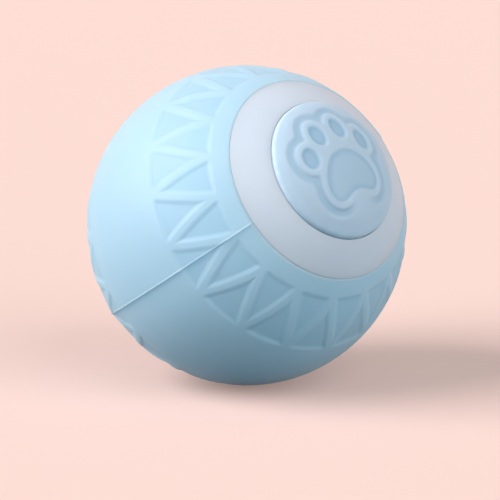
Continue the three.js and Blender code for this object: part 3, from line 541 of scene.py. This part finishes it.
def paw_relief(x, y):
    """Height of the paw print over the disc's dome, and the painted shade in its toes, palm and valley."""
    palm = polygon_distance(x, y, palm_outline())
    toes = [ellipse_distance(x, y, toe[:2], TOE_HALF, toe[2]) for toe in TOES]
    toe = np.minimum.reduce(toes)
    in_toe = smooth(0.5 - toe / TOE_RAMP)
    in_palm = smooth(0.5 - palm / PALM_RAMP)
    palm_depth = PALM_DEPTH + PALM_EDGE_DEPTH * np.exp(np.minimum(palm, 0) / PALM_EDGE_REACH)
    join_x, join_y, join_radius = PAD_JOIN
    join = np.hypot(x - join_x, y - join_y) - join_radius
    outline = smooth_union([palm, *toes, join], PAD_BLEND)
    in_valley = valley_level(x, y, outline)
    wells = -TOE_DEPTH * in_toe - palm_depth * in_palm - VALLEY_DEPTH * in_valley
    painted_light = [
        (TOE_SHADE + TOE_WALL_SHADE * bell(toe, *TOE_WALL)) * in_toe,
        (PALM_SHADE + PALM_WALL_SHADE * bell(palm, *PALM_WALL)) * in_palm,
        VALLEY_SHADE * in_valley,
    ]
    return wells + RIDGE_HEIGHT * bell(outline, RIDGE_PLACE, RIDGE_WIDTH), np.maximum.reduce(painted_light)


def cap_height(radius):
    """Height of the cap's face: a dome that leans down a little more towards its edge."""
    near_edge = max(0, radius - DISC_PILLOW_START) / (DISC - DISC_PILLOW_START)
    return math.sqrt(DISC_DOME ** 2 - radius ** 2) - DISC_PILLOW_DROP * near_edge ** 3


def face_end():
    """Where the cap's face meets its rounded edge: the radius, and how far the face leans there."""
    start = DISC - DISC_EDGE
    slope = (cap_height(start) - cap_height(start - SLOPE_STEP)) / SLOPE_STEP
    lean = math.atan(-slope)
    return DISC - DISC_EDGE * (1 - math.sin(lean)), lean


def edge_section():
    """Radius, height and painted highlight of the disc's rounded edge, from its face out to its wall."""
    radius, lean = face_end()
    upright = math.pi / 2
    centre = cap_height(radius) - DISC_EDGE * math.cos(lean)
    section = []
    for out in np.linspace(lean, upright, EDGE_RINGS)[1:]:
        tint = RIM_HIGHLIGHT + (1 - RIM_HIGHLIGHT) * ((out - lean) / (upright - lean)) ** 2
        radius = DISC - DISC_EDGE + DISC_EDGE * math.sin(out)
        section.append((radius, centre + DISC_EDGE * math.cos(out), tint))
    return section


def under_section(rear):
    """Radius and height of the disc's underside, from its wall in to its middle."""
    if not rear:
        roof = CAP_UNDER + POCKET_DEPTH
        return [(DISC - DISC_CHAMFER, CAP_UNDER), (POCKET, CAP_UNDER), (POCKET, roof), (UNDER_MIDDLE, roof)]
    across, down = BOSS_FOOT
    return [
        (DISC - DISC_CHAMFER, PLUG_UNDER),
        (BOSS_OUTER + across, PLUG_UNDER),
        (BOSS_OUTER, PLUG_UNDER - down),
        (BOSS_OUTER, BOSS_END + BOSS_CHAMFER),
        (BOSS_OUTER - BOSS_CHAMFER, BOSS_END),
        (BOSS_INNER + BOSS_CHAMFER, BOSS_END),
        (BOSS_INNER, BOSS_END + BOSS_CHAMFER),
        (BOSS_INNER, PLUG_UNDER),
        (UNDER_MIDDLE, PLUG_UNDER),
    ]


def paw_disc(name, rear, matrix):
    """The cap from its middle out over the edge, then the underside back to the middle."""
    turn = np.linspace(0, 2 * math.pi, DISC_SEGMENTS, endpoint=False)
    relief, sunk = paw_relief(np.zeros(1), np.zeros(1))
    points, painted_light = [[0, 0, cap_height(0) + relief[0]]], [sunk[0]]

    def ring(radius, height, sunk):
        points.extend(np.stack([radius * np.cos(turn), radius * np.sin(turn), height + 0 * turn], -1))
        painted_light.extend(sunk + 0 * turn)

    for radius in np.linspace(FACE_START, face_end()[0], FACE_RINGS):
        relief, sunk = paw_relief(radius * np.cos(turn), radius * np.sin(turn))
        # Painted highlight on the face's shoulder.
        rim = RIM_HIGHLIGHT * smooth((radius - RIM_HIGHLIGHT_START) / RIM_HIGHLIGHT_RAMP)
        ring(radius, cap_height(radius) + relief, sunk - rim)
    for radius, height, tint in edge_section():
        ring(radius, height, -tint)
    underside = under_section(rear)
    # The wall's foot takes the full painted highlight against its shade.
    ring(DISC, underside[0][1] + DISC_CHAMFER, -1)
    for radius, height in underside:
        ring(radius, height, 0)
    rings = (len(points) - 1) // DISC_SEGMENTS
    faces = [list(f + 1)[::-1] for f in grid_faces(rings, DISC_SEGMENTS, False)]
    last_ring = 1 + (rings - 1) * DISC_SEGMENTS
    points.append([0, 0, underside[-1][1]])
    painted_light.append(0)
    for c in range(DISC_SEGMENTS):
        on = (c + 1) % DISC_SEGMENTS
        faces.append([1 + c, 1 + on, 0])
        faces.append([last_ring + on, last_ring + c, len(points) - 1])
    return mesh_piece(name, points, faces, matrix, DISC_CREASE, painted_light)


# Materials
def linear(r, g, b):
    """A colour named in the usual 0 to 255 values, as the shader wants it."""
    def one(v):
        v /= 255
        return v / 12.92 if v <= 0.04045 else ((v + 0.055) / 1.055) ** 2.4
    return (one(r), one(g), one(b), 1)


class Maker:
    """Builds one node material from small steps."""

    def __init__(self, name):
        self.material = bpy.data.materials.new(name)
        self.material.use_nodes = True
        self.nodes = self.material.node_tree.nodes
        self.links = self.material.node_tree.links
        self.shader = next(n for n in self.nodes if n.type == "BSDF_PRINCIPLED")
        self.place = self.nodes.new("ShaderNodeTexCoord").outputs["Object"]

    def set(self, **values):
        for name, value in values.items():
            self.shader.inputs[name.replace("_", " ")].default_value = value

    def noise(self, scale, detail, stretch=None):
        source = self.place
        if stretch is not None:
            mapping = self.nodes.new("ShaderNodeMapping")
            mapping.inputs["Scale"].default_value = stretch
            self.links.new(source, mapping.inputs["Vector"])
            source = mapping.outputs["Vector"]
        node = self.nodes.new("ShaderNodeTexNoise")
        node.inputs["Scale"].default_value = scale
        node.inputs["Detail"].default_value = detail
        self.links.new(source, node.inputs["Vector"])
        return node.outputs["Fac"]

    def ranged(self, value, low, high, start=0.3, end=0.7):
        """From low to high as the value goes from start to end, by default a noise's usual span."""
        node = self.nodes.new("ShaderNodeMapRange")
        node.inputs["From Min"].default_value = start
        node.inputs["From Max"].default_value = end
        node.inputs["To Min"].default_value = low
        node.inputs["To Max"].default_value = high
        self.links.new(value, node.inputs["Value"])
        return node.outputs["Result"]

    def patches(self, scale, detail, low, high):
        return self.ranged(self.noise(scale, detail), low, high)

    def mix(self, factor, first, second):
        node = self.nodes.new("ShaderNodeMix")
        node.data_type = "RGBA"
        self.links.new(factor, node.inputs["Factor"])
        for socket, value in ((node.inputs[6], first), (node.inputs[7], second)):
            if isinstance(value, tuple):
                socket.default_value = value
            else:
                self.links.new(value, socket)
        return node.outputs[2]

    def edges(self, low, high):
        """From 0 on flat and sunk places to 1 on raised edges."""
        node = self.nodes.new("ShaderNodeNewGeometry")
        return self.ranged(node.outputs["Pointiness"], 0, 1, low, high)

    def colour(self, value):
        self.links.new(value, self.shader.inputs["Base Color"])

    def rough(self, value):
        self.links.new(value, self.shader.inputs["Roughness"])

    def bump(self, value, distance, strength):
        node = self.nodes.new("ShaderNodeBump")
        node.inputs["Strength"].default_value = strength
        node.inputs["Distance"].default_value = distance
        self.links.new(value, node.inputs["Height"])
        self.links.new(node.outputs["Normal"], self.shader.inputs["Normal"])


def silicone(name, body, pale, shade_tone, edge):
    """Soft matte silicone: fine moulded grain, a painted shade colour in sunk places and a painted highlight,
    broken by fine noise, on its fine edges.
    """
    m = Maker(name)
    m.set(Specular_IOR_Level=0.42, Subsurface_Weight=0.55, Subsurface_Scale=0.0018, Sheen_Weight=0.08,
          Sheen_Roughness=0.5, Subsurface_Radius=(0.7, 1.0, 1.2))
    painted_light = m.nodes.new("ShaderNodeAttribute")
    painted_light.attribute_name = "painted_light"
    base = m.mix(m.patches(scale=70, detail=4, low=0, high=0.8), body, pale)
    # Painted shade in sunk places, then a painted highlight on fine edges.
    sunk = m.mix(m.ranged(painted_light.outputs["Fac"], low=0, high=1, start=0, end=1), base, shade_tone)
    wear_and_highlight = m.mix(m.patches(scale=900, detail=3, low=0.35, high=1), sunk, edge)
    m.colour(m.mix(m.ranged(painted_light.outputs["Fac"], low=1, high=0, start=-1, end=-0.05), sunk, wear_and_highlight))
    m.rough(m.patches(scale=240, detail=5, low=0.46, high=0.58))
    m.bump(m.noise(scale=6500, detail=2), distance=0.000012, strength=0.6)
    return m.material


def milky(name, body, pale):
    """Milky translucent plastic, satin, with faint flow marks."""
    m = Maker(name)
    m.set(Specular_IOR_Level=0.5, Subsurface_Weight=0.35, Subsurface_Scale=0.004, Coat_Weight=0.06,
          Coat_Roughness=0.3, Subsurface_Radius=(1.0, 1.0, 1.15))
    m.colour(m.mix(m.patches(scale=60, detail=3, low=0, high=1), body, pale))
    m.rough(m.patches(scale=300, detail=4, low=0.36, high=0.46))
    m.bump(m.noise(scale=5000, detail=2), distance=0.000006, strength=0.5)
    return m.material


def plastic(name, body, wear_and_highlight, roughness=(0.42, 0.6)):
    """Moulded plastic: fine grain, with patches and edges lighter from wear."""
    m = Maker(name)
    m.set(Specular_IOR_Level=0.45)
    base = m.mix(m.patches(scale=200, detail=4, low=0, high=0.5), body, wear_and_highlight)
    m.colour(m.mix(m.edges(low=0.51, high=0.62), base, wear_and_highlight))
    m.rough(m.patches(420, 4, *roughness))
    m.bump(m.noise(scale=7000, detail=3), distance=0.00001, strength=0.7)
    return m.material


def metal(name, body, dull, stretch, roughness):
    """Metal with duller patches, and fine marks stretched as its tool leaves them."""
    m = Maker(name)
    m.set(Metallic=1.0)
    marks = m.noise(900, 6, stretch)
    m.colour(m.mix(m.patches(scale=250, detail=4, low=0, high=1), body, dull))
    m.rough(m.ranged(marks, *roughness))
    m.bump(marks, distance=0.000006, strength=0.6)
    return m.material


def solder_mask(name):
    """Green board: copper runs show as slightly raised lighter tracks."""
    m = Maker(name)
    m.set(Specular_IOR_Level=0.5, Coat_Weight=0.3, Coat_Roughness=0.2)
    cells = m.nodes.new("ShaderNodeTexVoronoi")
    cells.distance = "MANHATTAN"
    cells.inputs["Scale"].default_value = 700
    m.links.new(m.place, cells.inputs["Vector"])
    track = m.ranged(cells.outputs["Distance"], low=0, high=1, start=0.42, end=0.5)
    m.colour(m.mix(track, linear(22, 92, 60), linear(46, 128, 84)))
    m.rough(m.patches(scale=500, detail=4, low=0.3, high=0.45))
    m.bump(track, distance=0.00003, strength=0.5)
    return m.material


def foil(name):
    """The cell's wrinkled foil pouch."""
    m = Maker(name)
    m.set(Metallic=0.7)
    creased = m.patches(scale=160, detail=5, low=0, high=1)
    m.colour(m.mix(creased, linear(168, 174, 180), linear(140, 147, 152)))
    m.rough(m.patches(scale=600, detail=5, low=0.25, high=0.5))
    m.bump(m.noise(scale=420, detail=5), distance=0.00006, strength=0.6)
    return m.material


def lens(name):
    """Clear epoxy of the two lamps on the board."""
    m = Maker(name)
    m.set(Specular_IOR_Level=0.6, Transmission_Weight=0.6, Coat_Weight=0.2)
    cloudy = m.patches(scale=400, detail=3, low=0, high=1)
    m.colour(m.mix(cloudy, linear(238, 242, 250), linear(222, 228, 240)))
    m.rough(m.patches(scale=900, detail=3, low=0.08, high=0.2))
    return m.material


def slot_materials():
    """One material for each of the record's slots."""
    return {
        # For each silicone the last two colours are its painted shade and its painted highlight.
        "sleeve": silicone("silicone_sleeve_mat", linear(172, 204, 225), linear(178, 209, 229),
                           linear(166, 201, 223), linear(232, 243, 248)),
        "paw_disc": silicone("silicone_disc_mat", linear(180, 199, 217), linear(186, 204, 221),
                             linear(151, 184, 208), linear(205, 229, 253)),
        "clear_shell": milky("milky_shell_mat", linear(199, 207, 222), linear(205, 212, 226)),
        "white_plastic": plastic("white_plastic_mat", linear(228, 228, 224), linear(238, 238, 235)),
        "gear_plastic": plastic("acetal_mat", linear(236, 231, 214), linear(246, 243, 232), (0.3, 0.42)),
        "case_plastic": plastic("case_plastic_mat", linear(122, 127, 135), linear(150, 155, 162)),
        "steel": metal("turned_steel", linear(196, 198, 202), linear(168, 170, 174), (1, 1, 14),
                       (0.22, 0.42)),
        "ballast_iron": metal("plated_iron_mat", linear(150, 150, 152), linear(118, 118, 120), (3, 3, 3),
                              (0.35, 0.55)),
        "cell_foil": foil("cell_foil_mat"),
        "board": solder_mask("solder_mask_mat"),
        "black_plastic": plastic("black_plastic_mat", linear(38, 39, 42), linear(62, 63, 66)),
        "led_lens": lens("led_lens_mat"),
        "wire_red": plastic("wire_red_mat", linear(176, 40, 34), linear(196, 66, 58), (0.35, 0.5)),
        "wire_black": plastic("wire_black_mat", linear(34, 34, 37), linear(58, 58, 62), (0.35, 0.5)),
    }


materials = slot_materials()
for entry in frame["record"]["subparts"]:
    node = frame["nodes"][entry["node"]]
    for place in node.material_slots:
        place.material = materials[entry["material_slot"]]


# The five pieces that stand for CAD nodes
def dress(piece, body, slot, *nodes):
    piece.data.materials.append(materials[slot])
    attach(piece, body)
    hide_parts(*nodes)


housing = housing_matrix()
turned_over = turn_about("X", 180)
paw_turn = turn_about("Z", PAW_TURN)
dress(sleeve_skin(), "housing", "sleeve", "silicone_sleeve")
front_shell = turned("milky_shell_front", shell_profile(front=True), housing, hook_slots)
dress(front_shell, "housing", "clear_shell", "shell_front")
rear_shell = turned("milky_shell_rear", shell_profile(front=False), housing @ turned_over)
dress(rear_shell, "housing", "clear_shell", "shell_rear")
front_disc = paw_disc("paw_disc_front", False, housing @ paw_turn)
dress(front_disc, "button", "paw_disc", "paw_button")
rear_disc = paw_disc("paw_disc_rear", True, housing @ turned_over @ paw_turn)
dress(rear_disc, "plug", "paw_disc", "port_plug")


# Floor, light and camera. An azimuth of 0 is in front, at -Y, and 90 is at +X.
FLOOR_SEEN = (243, 210, 201)
FLOOR_BOUNCE = (58, 104, 114)
FLOOR_GLOW = 0.26
FLOOR_RINGS = [0.02, 0.05, 0.1, 0.2, 0.4, 0.8, 1.6, 3.2, 7.0]
FLOOR_SEGMENTS = 96
BACKDROP = (255, 222, 213)
SKY = 0.2
SKY_TINT = (0.78, 0.98, 1.0, 1)
WHITE = (1, 1, 1)
LAMP_SPREAD = 50
LAMPS = [
    {"name": "key_lamp", "azimuth": -113, "elevation": 33, "level": 1.21, "tint": WHITE},
    {"name": "fill_lamp", "azimuth": 26, "elevation": 0, "level": 0.54, "tint": (0.9, 0.975, 1)},
    {"name": "front_lamp", "azimuth": 0, "elevation": 35, "level": 0.38, "tint": WHITE},
]
CAMERA_AZIMUTH = -40.4
CAMERA_ELEVATION = 10
CAMERA_DISTANCE = 0.301
CAMERA_LENS = 160.95
CAMERA_SHIFT = (0.0064, -0.0495)
CAMERA_CLIP = (0.01, 20)


def seen_ray(nodes, links):
    """1 for the rays of the camera, of reflections and of clear pieces, 0 for diffuse light."""
    path = nodes.new("ShaderNodeLightPath")
    total = path.outputs["Is Camera Ray"]
    for name in ("Is Glossy Ray", "Is Transmission Ray"):
        both = nodes.new("ShaderNodeMath")
        both.operation = "MAXIMUM"
        links.new(total, both.inputs[0])
        links.new(path.outputs[name], both.inputs[1])
        total = both.outputs[0]
    return total


def floor_material():
    """Seen as the photo's pale pink, with a cooler bounce on the ball."""
    m = Maker("studio_floor_mat")
    m.set(Specular_IOR_Level=0.15)
    m.rough(m.patches(scale=40, detail=3, low=0.8, high=0.9))
    seen = seen_ray(m.nodes, m.links)
    m.colour(m.mix(seen, linear(*FLOOR_BOUNCE), linear(*FLOOR_SEEN)))
    glow = m.nodes.new("ShaderNodeEmission")
    glow.inputs["Color"].default_value = linear(*BACKDROP)
    part = m.nodes.new("ShaderNodeMath")
    part.operation = "MULTIPLY"
    part.inputs[1].default_value = FLOOR_GLOW
    m.links.new(seen, part.inputs[0])
    mix = m.nodes.new("ShaderNodeMixShader")
    m.links.new(part.outputs[0], mix.inputs["Fac"])
    m.links.new(m.shader.outputs[0], mix.inputs[1])
    m.links.new(glow.outputs[0], mix.inputs[2])
    output = next(n for n in m.nodes if n.type == "OUTPUT_MATERIAL")
    m.links.new(mix.outputs[0], output.inputs["Surface"])
    return m.material


def pale_floor():
    mesh = bpy.data.meshes.new("studio_floor")
    turn = np.linspace(0, 2 * math.pi, FLOOR_SEGMENTS, endpoint=False)
    points = [[0, 0, 0]]
    for radius in FLOOR_RINGS:
        points += [[radius * math.cos(t), radius * math.sin(t), 0] for t in turn]
    faces = [list(f + 1)[::-1] for f in grid_faces(len(FLOOR_RINGS), FLOOR_SEGMENTS, False)]
    faces += [[0, 1 + c, 1 + (c + 1) % FLOOR_SEGMENTS] for c in range(FLOOR_SEGMENTS)]
    mesh.from_pydata(points, [], faces)
    mesh.update()
    floor = bpy.data.objects.new("studio_floor", mesh)
    floor.location = (0, 0, -BALL * MM)
    bpy.context.scene.collection.objects.link(floor)
    mesh.materials.append(floor_material())


def studio_world():
    world = bpy.data.worlds.new("studio_world")
    bpy.context.scene.world = world
    world.use_nodes = True
    nodes, links = world.node_tree.nodes, world.node_tree.links
    nodes.clear()
    seen = nodes.new("ShaderNodeBackground")
    seen.inputs["Color"].default_value = linear(*BACKDROP)
    light = nodes.new("ShaderNodeBackground")
    light.inputs["Color"].default_value = SKY_TINT
    light.inputs["Strength"].default_value = SKY
    mix = nodes.new("ShaderNodeMixShader")
    out = nodes.new("ShaderNodeOutputWorld")
    links.new(seen_ray(nodes, links), mix.inputs["Fac"])
    links.new(light.outputs[0], mix.inputs[1])
    links.new(seen.outputs[0], mix.inputs[2])
    links.new(mix.outputs[0], out.inputs[0])


def aimed(name, data, azimuth, elevation, distance=0):
    """A lamp or camera that looks at the ball's centre from the given side."""
    a, e = math.radians(azimuth), math.radians(elevation)
    back = Vector((math.sin(a) * math.cos(e), -math.cos(a) * math.cos(e), math.sin(e)))
    placed = bpy.data.objects.new(name, data)
    placed.location = back * distance
    placed.rotation_mode = "QUATERNION"
    placed.rotation_quaternion = (-back).to_track_quat("-Z", "Y")
    bpy.context.scene.collection.objects.link(placed)
    return placed


def soft_lamp(name, azimuth, elevation, level, tint):
    """A wide even lamp. Level 1 shows a colour as written."""
    data = bpy.data.lights.new(name, "SUN")
    data.energy = level * math.pi
    data.color = tint
    data.angle = math.radians(LAMP_SPREAD)
    aimed(name, data, azimuth, elevation)


def photo_camera():
    data = bpy.data.cameras.new("photo_camera")
    data.lens = CAMERA_LENS
    data.shift_x, data.shift_y = CAMERA_SHIFT
    data.clip_start, data.clip_end = CAMERA_CLIP
    camera = aimed("photo_camera", data, CAMERA_AZIMUTH, CAMERA_ELEVATION, CAMERA_DISTANCE)
    bpy.context.scene.camera = camera


pale_floor()
studio_world()
for lamp in LAMPS:
    soft_lamp(**lamp)
photo_camera()
bpy.context.scene.view_settings.view_transform = "Standard"
